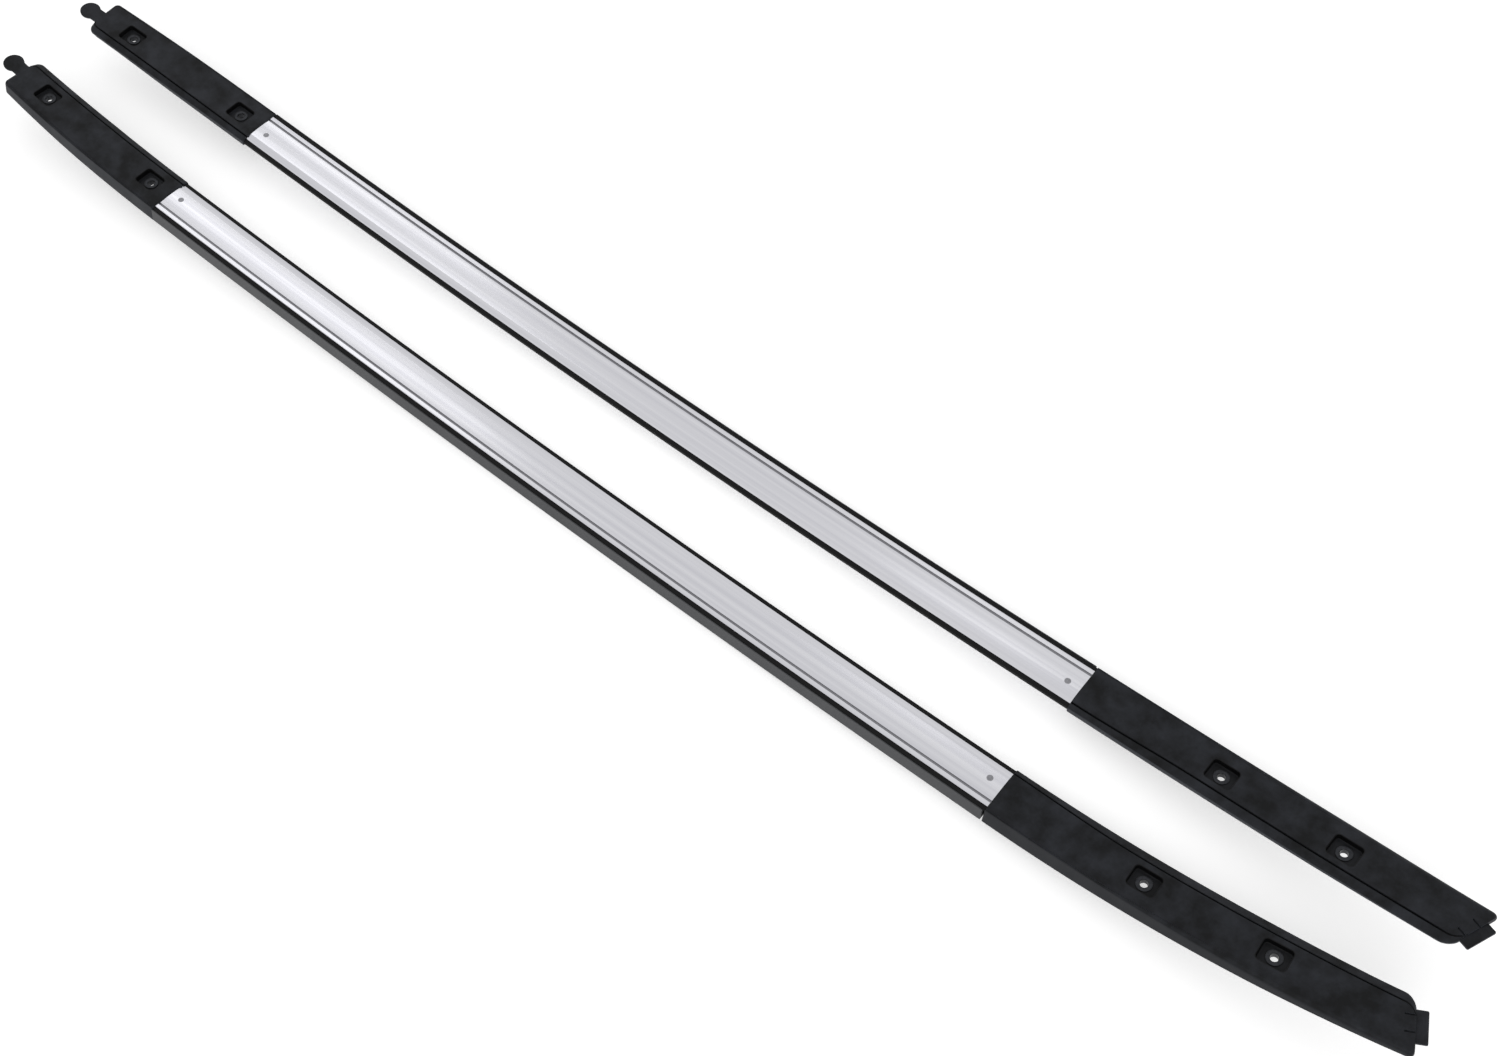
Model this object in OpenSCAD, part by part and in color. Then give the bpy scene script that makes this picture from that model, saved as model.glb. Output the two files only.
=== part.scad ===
// Roof side rail pair: two slender aluminium bars with moulded ends,
// lying side by side with their bolt pockets up.
// X runs along the rails towards the long ends, Y across, Z up.
// The origin is on the ground, midway between the rails and midway along them.

/* [Pair] */
// Distance between the middle lines of the two bars
rail_gap = 150; // [130:1:1200]
// Length of each aluminium bar along its curve
bar_len = 1255; // [900:5:1600]
// How much of the bar lies behind the point where it touches the ground
bar_behind = 702; // [400:1:900]
// Radius to which the bar is bent, ends up
bar_bend_r = 10180; // [8000:10:20000]

/* [Long end] */
// Length of the moulding at the long end, without its tongue
long_len = 438; // [360:1:520]
// How far the tip of the long end turns up from the bar's own line
long_rise = 44; // [20:1:60]
// How far the tip of the long end turns in towards the other rail
long_inset = 17; // [4:1:24]
// How much thinner the moulding gets from the bar to the tip
long_thinning = 6; // [0:0.5:7]
// How much the outer edge of the moulding thins towards the tip
long_edge_thinning = 14; // [6:0.5:15]
// First pocket, measured from the bar
long_pocket_1 = 166; // [90:1:180]
// Second pocket, measured back from the tip
long_pocket_2 = 135; // [60:1:150]
// How far the spigot reaches into the bar
long_spigot = 60; // [30:1:120]

/* [Short end] */
// Length of the moulding at the short end, without its lug
short_len = 284; // [270:1:360]
// How far the tip of the short end turns up from the bar's own line
short_rise = 9; // [4:1:20]
// How far the tip of the short end turns in towards the other rail
short_inset = 8; // [2:1:16]
// How much thinner the moulding gets from the bar to the tip
short_thinning = 5; // [0:0.5:5]
// First pocket, measured from the bar
short_pocket_1 = 35; // [28:1:60]
// Second pocket, measured back from the tip
short_pocket_2 = 54; // [50:1:110]
// How far the spigot reaches into the bar
short_spigot = 50; // [30:1:120]

/* [Bar section] */
// Width of the bright face of the bar
face_w = 46.9; // [44:0.5:54]
// Wall of the hollow bar
bar_wall = 2; // [1.5:0.1:2.5]
// Height of the bar on its inner side, under the edge of the face
bar_inner_h = 6.2; // [5.5:0.1:7.5]
// Height of the bar on its outer side
bar_outer_h = 17; // [14:0.5:20]
// Width of the shoulder that slopes down along the inner side of the face
shoulder_w = 8.2; // [5:0.1:12]
// Drop of that shoulder
shoulder_drop = 2.6; // [1.5:0.1:3]
// Width of the groove along the face
groove_w = 2.8; // [1.5:0.1:3.5]
// Depth of that groove
groove_d = 1.5; // [0.8:0.1:2]
// Width of the rib between the groove and the outer edge
rib_w = 5.3; // [4:0.1:7]

/* [Seals and skirt] */
// Width of the black seal showing beside each edge of the face
seal_w = 5; // [3:0.1:6]
// Wall of the skirt
skirt_wall = 2; // [1.5:0.1:3]
// How much wider the skirt is at its foot than at its top
skirt_flare = 4; // [1:0.5:7]
// Width of the skirt's foot under the bar
skirt_foot = 20; // [12:1:30]
// Gap between the skirt and the flank of the long end
skirt_gap = 2; // [0.5:0.1:4]

/* [End mouldings] */
// How far the top of a moulding stands above the bar's face
proud = 0.8; // [0.2:0.1:2]
// Wall of the hollow mouldings
end_wall = 3; // [2:0.1:3.5]
// How far a moulding stands out beyond the bar on its inner side
end_step = 1.2; // [0:0.1:2]
// Width of the sloping shoulder along the inner side of a moulding
end_shoulder_w = 9; // [5:0.5:11]
// Drop of that shoulder
end_shoulder_drop = 3.5; // [2:0.5:9.5]
// Depth of a moulding at its outer side, beside the bar
end_outer_h = 18.4; // [17:0.1:22]
// Depth of a moulding at its inner side, beside the bar
end_inner_h = 10.4; // [10:0.1:13]
// Width of the fine grooves that run along both edges of a moulding
line_w = 1.6; // [1:0.1:2.5]
// Depth of those grooves
line_d = 0.9; // [0.4:0.1:1.5]
// Number of bays that cross ribs divide each hollow moulding into
rib_bays = 6; // [3:1:10]
// Thickness of those cross ribs
rib_t = 1.8; // [1.2:0.1:3]
// Thickness of the rubber pad under each moulding
pad_t = 2; // [1:0.1:3]
// How far the pad stays back from the edges of the moulding
pad_inset = 2; // [1:0.1:4]

/* [Pockets and bushes] */
// Length of a bolt pocket along the rail
pocket_l = 30; // [24:1:36]
// Width of a bolt pocket
pocket_w = 24; // [20:1:28]
// Corner radius of a bolt pocket
pocket_r = 4; // [2:0.5:8]
// Depth of a bolt pocket
pocket_d = 7; // [6:0.5:8]
// Radius of the bolt hole in a bush
bolt_r = 4.25; // [3:0.05:5]
// Wall of a bush
bush_wall = 1.75; // [1:0.05:2.5]
// Radius of the flange of a bush
bush_flange_r = 8.5; // [7:0.1:10]
// Thickness of the flange of a bush
bush_flange_t = 1.2; // [0.8:0.1:2]
// Length of the sleeve of a bush under its flange
bush_len = 7; // [6:0.5:8]

/* [Tongue and lug] */
// Width of the tongue at the long tip
tongue_w = 33; // [24:1:38]
// Length of the tongue beyond the moulding
tongue_l = 11; // [6:0.5:20]
// Slant of the long tip, its outer corner reaching further
tip_slant = 20; // [0:1:28]
// Radius of the rounded lug at the short tip
lug_r = 13; // [9:0.5:15]
// Length of the lug beyond the moulding
lug_l = 33; // [24:1:38]
// Thickness of the tongue and of the lug
tab_t = 3; // [2:0.1:4]

/* [Rivets] */
// Radius of a rivet head
rivet_head_r = 3; // [2.2:0.1:4]
// Radius of a rivet shank
rivet_r = 2; // [1.5:0.1:2.1]
// Thickness of a rivet head, let into the face
rivet_head_t = 1; // [0.8:0.1:1.2]
// Length of a rivet shank under its head
rivet_l = 5; // [4:0.5:7]
// Distance of a rivet from the end of the bar
rivet_from_end = 16; // [10:1:25]
// Place of a rivet across the face, negative towards the inner side
rivet_u = -4; // [-8:0.5:8]

/* [Hidden] */

// Colours
bright = "silver";
dark = "#3c3d40";
black = "#1d1e21";
plastic = "#2b2c30";
steel = "#9a9b9d";

// Fits: clear is left between parts that lie against each other
clear = 0.25;
joint_gap = 0.4;
spigot_clear = 0.3;
rivet_sink = 0.15;
// Depth that reaches past every part, for cuts
deep = 60;
eps = 0.01;

// Section of the bar, u outwards and v up, from the middle of the face
face_half = face_w / 2;
rib_v = -0.2;
groove_out_u = face_half - rib_w;
groove_in_u = groove_out_u - groove_w;
bar_slope = (bar_outer_h - bar_inner_h - shoulder_drop) / face_w;
function bar_floor(u) = -shoulder_drop - bar_inner_h - (u + face_half) * bar_slope;

// The seals lie against the walls of the bar
rail_half = face_half + seal_w;
seal_top = -0.7;
seal_h = 2.6;
seal_edge = 0.8;
seal_sink = 0.4;

// Skirt: its flank leans out from the edge beside the outer seal down to the foot
skirt_edge = 1.2;
flank_top_u = rail_half + clear;
flank_foot_u = flank_top_u + skirt_flare;
skirt_floor = bar_floor(face_half) - clear - skirt_wall;
ledge_v = seal_top - seal_h - clear;
flank_edge_v = seal_top - skirt_edge / 2;
flank_lift_v = skirt_floor + skirt_edge;
flank_edge_u = flank_top_u + skirt_edge;
function flank_u(v) = flank_edge_u
    + (flank_foot_u - flank_edge_u) * (flank_edge_v - v) / (flank_edge_v - flank_lift_v);

// Mouldings
end_side_u = rail_half + end_step;
crease_in_u = end_side_u - end_shoulder_w;
flank_lean = skirt_flare / -skirt_floor;

// Underside of a moulding: its main floor, and a floor that lifts the outer edge more
end_slope = (end_outer_h - end_inner_h) / (2 * rail_half);
edge_slope = 0.06;
edge_floor_h = 19;
function end_floor(u) = -end_inner_h - (u + rail_half) * end_slope;
function edge_floor(u) = -edge_floor_h + (u - flank_foot_u) * edge_slope;

// Tips: each side narrows over a length, and the inner corner is rounded
tip_narrowing = 2;
tip_narrowing_l = 150;
tip_corner_r = 9;

// Tongue and lug: their height, their place across, and how far they root in the tip
tab_top = -1.5;
tongue_u = -1.5;
lug_u = -3;
tab_root = 14;

// Bends: the radius and the lean of the plane in which an end turns up and in
function bend_r(len, rise, inset) = len * len / (2 * norm([rise, inset]));
function lean(rise, inset) = atan2(inset, rise);
long_r = bend_r(long_len, long_rise, long_inset);
long_lean = lean(long_rise, long_inset);
long_under_r = bend_r(long_len, long_rise + long_thinning, long_inset);
long_edge_r = bend_r(long_len, long_rise + long_edge_thinning, long_inset);
short_r = bend_r(short_len, short_rise, short_inset);
short_lean = lean(short_rise, short_inset);
short_under_r = bend_r(short_len, short_rise + short_thinning, short_inset);

// Height of the bar's middle line above the ground at its lowest point
ground = -skirt_floor;

// Reach of each tip along X from the lowest point, for centring the pair
bar_ahead = bar_len - bar_behind;
function reach(s, len, rise) = bar_bend_r * sin(turn(s, bar_bend_r))
    + len * cos(turn(s, bar_bend_r) + turn(len, len * len / (2 * rise)) / 2);
function turn(s, r) = s / r * 180 / PI;
tongue_reach = tongue_l * cos(tip_slant) + (tongue_u + tongue_w / 2) * sin(tip_slant);
ahead = reach(bar_ahead, long_len + tongue_reach, long_rise);
behind = reach(bar_behind, short_len + lug_l, short_rise);
centre_x = (behind - ahead) / 2;

// Fragments for the wide bends and for small rounds
wide_fn = 3600;
round_fn = 48;

// Directions in a bend: bend_dir points to its centre, axis_dir along its axis
function bend_dir(a) = [0, -sin(a), cos(a)];
function axis_dir(a) = [0, -cos(a), -sin(a)];

// Puts children at arc length s on a bend that starts at the origin along X
module at(s, r, a = 0) {
    translate(bend_dir(a) * r)
        rotate(a = turn(s, r), v = axis_dir(a))
            translate(-bend_dir(a) * r)
                children();
}

// Sweeps a section from arc length s0 to s1 along a bend
module sweep(s0, s1, r, a = 0) {
    at(s0, r, a)
        translate(bend_dir(a) * r)
            multmatrix([[0, 1, 0, 0], [sin(a), 0, -cos(a), 0], [-cos(a), 0, -sin(a), 0]])
                rotate_extrude(angle = turn(s1 - s0, r), $fn = wide_fn)
                    translate([r, 0]) mirror([1, 1]) rotate(-a) children();
}

// Whole rails: the left one as drawn, the right one its mirror image
module left() {
    translate([centre_x, rail_gap / 2, ground]) children();
}
module right() {
    mirror([0, 1, 0]) left() children();
}

// Ends of the bar, with X pointing away from the bar
module at_long_end() {
    at(bar_ahead, bar_bend_r) children();
}
module at_short_end() {
    at(-bar_behind, bar_bend_r) mirror([1, 0, 0]) children();
}

// Rounded rectangle made of exact straight and round edges
module round_rect(l, w, r) {
    square([l - 2 * r, w], center = true);
    square([l, w - 2 * r], center = true);
    for (x = [-1, 1], y = [-1, 1])
        translate([x * (l / 2 - r), y * (w / 2 - r)]) circle(r, $fn = round_fn);
}

// Aluminium bar
module bar_outline() {
    polygon([[-face_half, bar_floor(-face_half)],
             [-face_half, -shoulder_drop],
             [-face_half + shoulder_w, 0],
             [groove_in_u, 0],
             [groove_in_u, -groove_d],
             [groove_out_u, -groove_d],
             [groove_out_u, rib_v],
             [face_half, rib_v],
             [face_half, bar_floor(face_half)]]);
}
// The hollow of the bar, also shrunk by a clearance as the section of the spigots
module bar_hollow(c = 0) {
    step_u = groove_in_u - bar_wall;
    low_top = -groove_d - bar_wall;
    in_u = -face_half + shoulder_w;
    polygon([[-face_half + bar_wall + c, bar_floor(-face_half + bar_wall) + bar_wall + c],
             [-face_half + bar_wall + c, -shoulder_drop - bar_wall - c],
             [in_u, -bar_wall - c],
             [step_u - c, -bar_wall - c],
             [step_u - c, low_top - c],
             [face_half - bar_wall - c, low_top - c],
             [face_half - bar_wall - c, bar_floor(face_half - bar_wall) + bar_wall + c]]);
}
module rivet_hole() {
    translate([-rivet_from_end, rivet_u, -rivet_sink - rivet_head_t]) {
        cylinder(r = rivet_head_r + clear, h = deep, $fn = round_fn);
        translate([0, 0, -bar_wall]) cylinder(r = rivet_r + clear, h = deep, $fn = round_fn);
    }
}
module bar() {
    color(bright)
        difference() {
            sweep(-bar_behind, bar_ahead, bar_bend_r) difference() {
                bar_outline();
                bar_hollow();
            }
            at_long_end() rivet_hole();
            at_short_end() rivet_hole();
        }
}

// Black seals along the two edges of the face
module outer_seal() {
    u0 = face_half + clear;
    color(black)
        sweep(-bar_behind, bar_ahead, bar_bend_r)
            polygon([[u0, seal_top - seal_h],
                     [u0, seal_top],
                     [rail_half - seal_edge, seal_top],
                     [rail_half, seal_top - seal_edge],
                     [rail_half, seal_top - seal_h]]);
}
module inner_seal() {
    u0 = -face_half - clear;
    top_v = -shoulder_drop - clear;
    bottom_v = bar_floor(-face_half) + seal_sink;
    color(black)
        sweep(-bar_behind, bar_ahead, bar_bend_r)
            polygon([[u0, bottom_v],
                     [u0, top_v],
                     [-rail_half + seal_edge, top_v - seal_sink],
                     [-rail_half, top_v - seal_sink - seal_edge],
                     [-rail_half, bottom_v]]);
}

// Skirt: a leaning flank, with a ledge under the outer seal and a foot under the bar
module skirt() {
    u0 = face_half + clear;
    foot_u = face_half - skirt_foot;
    foot_top_v = bar_floor(face_half) - clear;
    ledge_under_v = ledge_v - skirt_wall;
    color(dark)
        sweep(-bar_behind, bar_ahead - skirt_gap, bar_bend_r)
            polygon([[flank_top_u, seal_top - skirt_edge / 4],
                     [flank_top_u + skirt_edge / 4, seal_top],
                     [flank_edge_u - skirt_edge / 4, seal_top],
                     [flank_edge_u, flank_edge_v],
                     [flank_foot_u, flank_lift_v],
                     [flank_foot_u - skirt_edge, skirt_floor],
                     [u0, skirt_floor],
                     [foot_u, bar_floor(foot_u) - clear - skirt_wall],
                     [foot_u, bar_floor(foot_u) - clear],
                     [face_half, foot_top_v],
                     [flank_u(foot_top_v) - skirt_wall, foot_top_v],
                     [flank_u(ledge_under_v) - skirt_wall, ledge_under_v],
                     [u0, ledge_under_v],
                     [u0, ledge_v],
                     [flank_top_u, ledge_v]]);
}

// Section of a moulding, open downwards: the underside is cut by its own sweep
module end_outline() {
    polygon([[-end_side_u, -deep],
             [-end_side_u, -end_shoulder_drop],
             [-crease_in_u - line_w, proud - line_d / 2],
             [-crease_in_u - line_w / 2, proud - line_d],
             [-crease_in_u, proud],
             [flank_top_u - line_w / 2, proud],
             [flank_top_u, proud - line_d],
             [flank_top_u + line_w / 2, proud - line_d / 2],
             [flank_top_u + line_w / 2 + flank_lean * deep, proud - line_d / 2 - deep]]);
}
module end_hollow() {
    top_v = proud - end_wall;
    polygon([[-end_side_u + end_wall, -deep],
             [-end_side_u + end_wall, -end_shoulder_drop - end_wall / 2],
             [-crease_in_u + end_wall / 2, top_v],
             [flank_top_u - end_wall, top_v],
             [flank_top_u - end_wall + flank_lean * (deep + top_v), -deep]]);
}
module below(low_v, high_v) {
    side = rail_half + deep;
    polygon([[-side, low_v], [side, high_v], [side, -3 * deep], [-side, -3 * deep]]);
}

// All that lies more than a depth under the main floor, and under the edge floor,
// which only the long end has: an edge radius of 0 leaves it out
module under_main(len, r, a, depth = 0) {
    side = rail_half + deep;
    translate([-eps, 0, -depth])
        sweep(0, len + deep, r, a) below(end_floor(-side), end_floor(side));
}
module under_edge(len, r, a, depth = 0) {
    side = rail_half + deep;
    translate([-eps, 0, -depth])
        sweep(0, len + deep, r, a) below(edge_floor(-side), edge_floor(side));
}

// Body of a moulding before it is hollowed
module end_body(len, r, a, under_r, edge_r, slant) {
    difference() {
        sweep(0, len + rail_half * tan(slant), r, a) end_outline();
        under_main(len, under_r, a);
        if (edge_r > 0) under_edge(len, edge_r, a);
        at(len, r, a) tip_cut(slant);
    }
}

// Trims a tip: a slanted end, a rounded inner corner and slightly narrowed sides
module tip_cut(slant, inset = 0) {
    narrow = tip_narrowing + inset;
    inner_x = -(rail_half - narrow) * tan(slant) - inset;
    swing = atan(tip_narrowing / tip_narrowing_l);
    translate([-inset, 0, -deep])
        rotate([0, 0, -slant]) translate([0, -deep, 0]) cube([deep, 2 * deep, 2 * deep]);
    translate([inner_x, -end_side_u + narrow, -deep])
        linear_extrude(2 * deep)
            difference() {
                translate([-tip_corner_r, -deep]) square([deep, deep + tip_corner_r]);
                translate([-tip_corner_r, tip_corner_r]) circle(tip_corner_r, $fn = round_fn);
                translate([-deep - tip_corner_r, 0]) square(deep);
                translate([-tip_corner_r, tip_corner_r]) square(deep);
            }
    for (side = [-1, 1])
        translate([0, side * (rail_half - narrow + (side > 0 ? skirt_flare : end_step)), -deep])
            rotate([0, 0, -side * swing])
                translate([-tip_narrowing_l - deep, side > 0 ? 0 : -deep, 0])
                    cube([tip_narrowing_l + 2 * deep, deep, 2 * deep]);
}

// Pocket for a bolt head and its cover, its housing, and the boss for the bush
pocket_floor = proud - pocket_d;
module pocket_cut() {
    translate([0, 0, pocket_floor])
        linear_extrude(deep) round_rect(pocket_l, pocket_w, pocket_r);
    translate([0, 0, -deep])
        cylinder(r = bolt_r + bush_wall + clear, h = 2 * deep, $fn = round_fn);
}
module pocket_housing() {
    translate([0, 0, pocket_floor - end_wall])
        linear_extrude(deep)
            round_rect(pocket_l + 2 * end_wall, pocket_w + 2 * end_wall, pocket_r + end_wall);
    translate([0, 0, -deep]) cylinder(r = bush_flange_r + 1, h = deep, $fn = round_fn);
}

module hollow_bays(len, r, a, slant) {
    tail = rail_half * tan(slant) + end_wall;
    bay = (len - tail - end_wall) / rib_bays;
    for (i = [0 : rib_bays - 1])
        sweep(end_wall + i * bay, end_wall + (i + 1) * bay - rib_t, r, a) end_hollow();
}

module moulding(len, r, a, under_r, edge_r, slant, p1, p2) {
    difference() {
        end_body(len, r, a, under_r, edge_r, slant);
        difference() {
            hollow_bays(len, r, a, slant);
            at(p1, r, a) pocket_housing();
            at(p2, r, a) pocket_housing();
        }
        at(p1, r, a) pocket_cut();
        at(p2, r, a) pocket_cut();
    }
}

module long_end() {
    color(plastic) {
        at_long_end() difference() {
            union() {
                translate([joint_gap, 0, 0])
                    moulding(long_len, long_r, long_lean, long_under_r, long_edge_r,
                             tip_slant, long_pocket_1, long_len - long_pocket_2);
                at(long_len, long_r, long_lean) tongue();
            }
            at(long_len, long_r, long_lean) tongue_slits();
        }
        tail(long_spigot, 1);
    }
}
// The tail runs inside the hollow bar and through the gap into the moulding
module tail(len, dir) {
    s_end = dir > 0 ? bar_ahead : -bar_behind;
    s_tip = s_end - dir * len;
    s_root = s_end + dir * (joint_gap + eps);
    difference() {
        sweep(min(s_tip, s_root), max(s_tip, s_root), bar_bend_r) bar_hollow(spigot_clear);
        at(s_end - dir * rivet_from_end, bar_bend_r)
            translate([0, rivet_u, -deep]) cylinder(r = rivet_r + clear, h = 2 * deep, $fn = round_fn);
    }
}

// Tongue at the long tip, with two slits beside its middle part
module tongue() {
    rotate([0, 0, -tip_slant])
        translate([-tab_root, tongue_u - tongue_w / 2, tab_top - tab_t])
            cube([tab_root + tongue_l, tongue_w, tab_t]);
}
module tongue_slits() {
    slit_l = 10;
    slit_w = 2.2;
    for (u = [-10, 7])
        rotate([0, 0, -tip_slant])
            translate([-slit_l, tongue_u + u - slit_w / 2, tab_top])
                cube([slit_l + deep, slit_w, deep]);
}

module short_end() {
    color(plastic) {
        at_short_end() union() {
            translate([joint_gap, 0, 0])
                moulding(short_len, short_r, short_lean, short_under_r, 0,
                         0, short_pocket_1, short_len - short_pocket_2);
            at(short_len, short_r, short_lean) lug();
        }
        tail(short_spigot, -1);
    }
}

// Rounded lug at the short tip, on a narrower neck
module lug() {
    neck_w = 1.5 * lug_r;
    translate([0, lug_u, tab_top - tab_t])
        linear_extrude(tab_t) {
            translate([lug_l - lug_r, 0]) circle(lug_r, $fn = round_fn);
            translate([-tab_root, -neck_w / 2]) square([tab_root + lug_l - lug_r, neck_w]);
        }
}

// Rubber pad that follows the underside of a moulding, a little inside its edges
module pad(len, r, a, under_r, edge_r, slant, p1, p2) {
    edge_u = rail_half - pad_inset;
    color(black)
        difference() {
            translate([joint_gap, 0, 0])
                difference() {
                    sweep(pad_inset, len + rail_half * tan(slant), r, a)
                        translate([-edge_u, -deep]) square([2 * edge_u, deep - end_wall]);
                    under_main(len, under_r, a, clear + pad_t);
                    if (edge_r > 0) under_edge(len, edge_r, a, clear + pad_t);
                }
            translate([joint_gap, 0, 0])
                difference() {
                    sweep(0, len + deep, r, a)
                        translate([-rail_half, -deep]) square([2 * rail_half, deep]);
                    under_main(len, under_r, a, clear);
                    if (edge_r > 0) under_edge(len, edge_r, a, clear);
                }
            at(len, r, a) tip_cut(slant, pad_inset);
            translate([joint_gap, 0, 0]) at(p1, r, a) pad_hole();
            translate([joint_gap, 0, 0]) at(p2, r, a) pad_hole();
        }
}
module pad_hole() {
    translate([0, 0, -deep])
        cylinder(r = bolt_r + bush_wall + clear, h = 2 * deep, $fn = round_fn);
}
module long_pad() {
    at_long_end() pad(long_len, long_r, long_lean, long_under_r, long_edge_r, tip_slant,
                      long_pocket_1, long_len - long_pocket_2);
}
module short_pad() {
    at_short_end() pad(short_len, short_r, short_lean, short_under_r, 0, 0,
                       short_pocket_1, short_len - short_pocket_2);
}

// Steel bush: a sleeve with a flange that seats on the floor of its pocket
module bush() {
    color(steel)
        translate([0, 0, pocket_floor])
            difference() {
                union() {
                    cylinder(r = bush_flange_r, h = bush_flange_t, $fn = round_fn);
                    translate([0, 0, -bush_len])
                        cylinder(r = bolt_r + bush_wall, h = bush_len + eps, $fn = round_fn);
                }
                translate([0, 0, -deep]) cylinder(r = bolt_r, h = 2 * deep, $fn = round_fn);
            }
}
module long_bush(s) {
    at_long_end() translate([joint_gap, 0, 0]) at(s, long_r, long_lean) bush();
}
module short_bush(s) {
    at_short_end() translate([joint_gap, 0, 0]) at(s, short_r, short_lean) bush();
}

// Flush rivet that holds the bar to a spigot
module rivet() {
    color(steel)
        translate([-rivet_from_end, rivet_u, -rivet_sink - rivet_head_t]) {
            cylinder(r = rivet_head_r, h = rivet_head_t, $fn = round_fn);
            translate([0, 0, -rivet_l]) cylinder(r = rivet_r, h = rivet_l + eps, $fn = round_fn);
        }
}
module long_rivet() {
    at_long_end() rivet();
}
module short_rivet() {
    at_short_end() rivet();
}

left() bar();  // left_bar
left() skirt();  // left_skirt
left() outer_seal();  // left_outer_seal
left() inner_seal();  // left_inner_seal
left() long_end();  // left_long_end
left() short_end();  // left_short_end
left() long_pad();  // left_long_pad
left() short_pad();  // left_short_pad
left() long_bush(long_pocket_1);  // left_long_bush_1
left() long_bush(long_len - long_pocket_2);  // left_long_bush_2
left() short_bush(short_pocket_1);  // left_short_bush_1
left() short_bush(short_len - short_pocket_2);  // left_short_bush_2
left() long_rivet();  // left_long_rivet
left() short_rivet();  // left_short_rivet
right() bar();  // right_bar
right() skirt();  // right_skirt
right() outer_seal();  // right_outer_seal
right() inner_seal();  // right_inner_seal
right() long_end();  // right_long_end
right() short_end();  // right_short_end
right() long_pad();  // right_long_pad
right() short_pad();  // right_short_pad
right() long_bush(long_pocket_1);  // right_long_bush_1
right() long_bush(long_len - long_pocket_2);  // right_long_bush_2
right() short_bush(short_pocket_1);  // right_short_bush_1
right() short_bush(short_len - short_pocket_2);  // right_short_bush_2
right() long_rivet();  // right_long_rivet
right() short_rivet();  // right_short_rivet
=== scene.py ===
import math
import bpy
import bmesh
from mathutils import Matrix, Vector


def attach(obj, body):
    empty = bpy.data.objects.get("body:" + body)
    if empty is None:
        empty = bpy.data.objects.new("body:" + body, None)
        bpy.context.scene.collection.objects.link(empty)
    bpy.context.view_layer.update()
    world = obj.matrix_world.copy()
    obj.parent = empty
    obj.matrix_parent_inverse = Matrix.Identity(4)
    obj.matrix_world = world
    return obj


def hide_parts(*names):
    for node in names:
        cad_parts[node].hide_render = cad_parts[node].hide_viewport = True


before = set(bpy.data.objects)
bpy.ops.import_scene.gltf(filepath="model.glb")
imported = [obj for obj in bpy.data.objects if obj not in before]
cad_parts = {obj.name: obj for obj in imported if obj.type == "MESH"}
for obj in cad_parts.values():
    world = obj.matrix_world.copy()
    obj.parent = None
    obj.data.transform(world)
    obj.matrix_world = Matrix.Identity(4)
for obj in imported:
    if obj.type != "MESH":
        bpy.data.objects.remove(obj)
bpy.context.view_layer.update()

mm = 0.001
sides = {"left": 1, "right": -1}

# the bow of the bars and the place of each rail, as in the CAD
pairLayout = {
    "railGap": 150.0,
    "bowRadius": 10180.0,
    "barBehind": 702.0,
    "barAhead": 553.0,
    "centreX": 7.9659,
    "groundLift": 19.25,
    "jointGap": 0.4,
}


def addNode(tree, kind, settings=None, inputs=None):
    # adds one node; inputs maps a socket name or number to a value or to another socket
    node = tree.nodes.new(kind)
    for key, value in (settings or {}).items():
        setattr(node, key, value)
    for key, value in (inputs or {}).items():
        socket = node.inputs[key]
        if isinstance(value, bpy.types.NodeSocket):
            tree.links.new(value, socket)
        else:
            socket.default_value = value
    return node


def linearColour(hexColour):
    # sRGB hex to linear RGBA
    channels = [int(hexColour[i:i + 2], 16) / 255 for i in (1, 3, 5)]
    return tuple([c / 12.92 if c <= 0.04045 else ((c + 0.055) / 1.055) ** 2.4 for c in channels] + [1.0])


def meshObject(name, points, faces, material=None, smooth=True):
    mesh = bpy.data.meshes.new(name)
    mesh.from_pydata([tuple(c * mm for c in p) for p in points], [], faces)
    mesh.validate()
    mesh.update()
    if smooth:
        mesh.polygons.foreach_set("use_smooth", [True] * len(mesh.polygons))
    obj = bpy.data.objects.new(name, mesh)
    bpy.context.scene.collection.objects.link(obj)
    if material:
        mesh.materials.append(material)
    return obj


def outwardNormals(obj):
    work = bmesh.new()
    work.from_mesh(obj.data)
    bmesh.ops.recalc_face_normals(work, faces=work.faces)
    work.to_mesh(obj.data)
    work.free()


def sharpenEdges(obj, degrees):
    # shading breaks at edges that turn more than this
    work = bmesh.new()
    work.from_mesh(obj.data)
    limit = math.radians(degrees)
    for edge in work.edges:
        edge.smooth = not (len(edge.link_faces) == 2 and edge.calc_face_angle(0.0) > limit)
    work.to_mesh(obj.data)
    work.free()


# where the photo was taken from, in degrees and mm, fitted to both rails' outlines
cameraSettings = {
    "azimuth": 38.744,
    "elevation": 58.030,
    "roll": 0.403,
    "distance": 1949.3,
    "focalPixels": 1761.9,
    "target": (165.3, 8.5, 29.1),
}


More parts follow.
